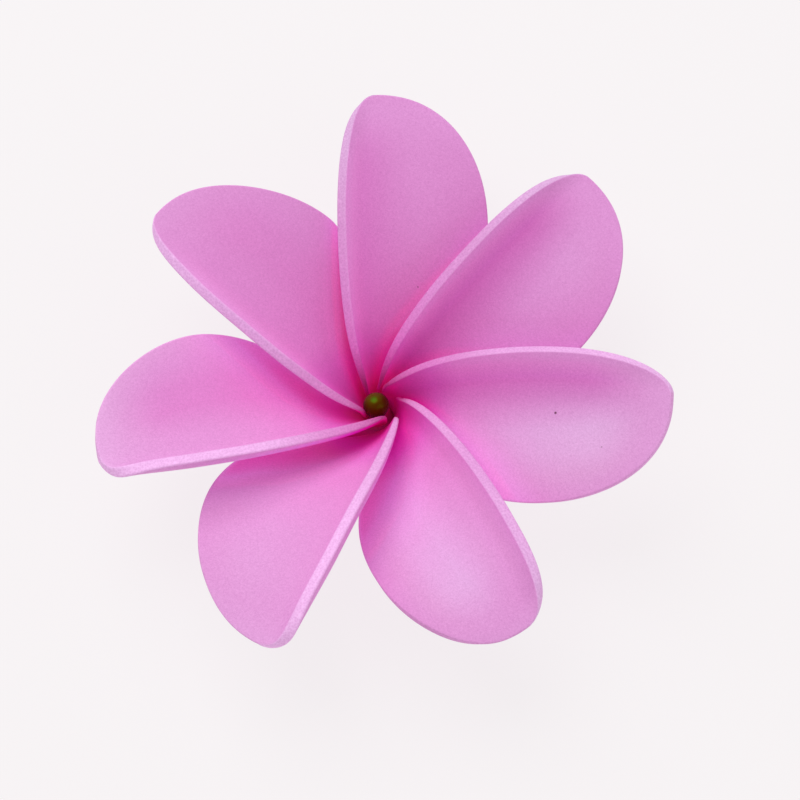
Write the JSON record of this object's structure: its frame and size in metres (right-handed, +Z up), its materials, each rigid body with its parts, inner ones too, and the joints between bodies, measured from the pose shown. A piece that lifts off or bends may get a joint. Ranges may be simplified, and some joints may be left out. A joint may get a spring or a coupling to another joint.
{
  "type": "foam tiare flower",
  "caption": "Artificial tiare blossom of heat-formed foam petals set as a pinwheel round a small glossy bead, backed by a flat foam disc that it rests on.",
  "frame": {"origin": "centre of the flat underside of the backing disc, which the flower rests on", "axes": "+Z up along the flower's axis, out of its face; +Y towards petal_1, +X towards petal_3"},
  "size_m": [0.0987, 0.1027, 0.031],
  "materials": {
    "petal_foam": "matte closed-cell foam",
    "disc_foam": "matte closed-cell foam",
    "bead_gloss": "glossy",
    "wire_steel": "drawn wire",
    "hot_melt_glue": "cloudy, satin, pink from the foam round it"
  },
  "bodies": {
    "root": {"petal_1": "petal_foam", "petal_2": "petal_foam", "petal_3": "petal_foam", "petal_4": "petal_foam", "petal_5": "petal_foam", "petal_6": "petal_foam", "petal_7": "petal_foam", "centre_bead": "bead_gloss", "bead_wire": "wire_steel", "glue_core": "hot_melt_glue", "backing_disc": "disc_foam"}
  },
  "joints": []
}
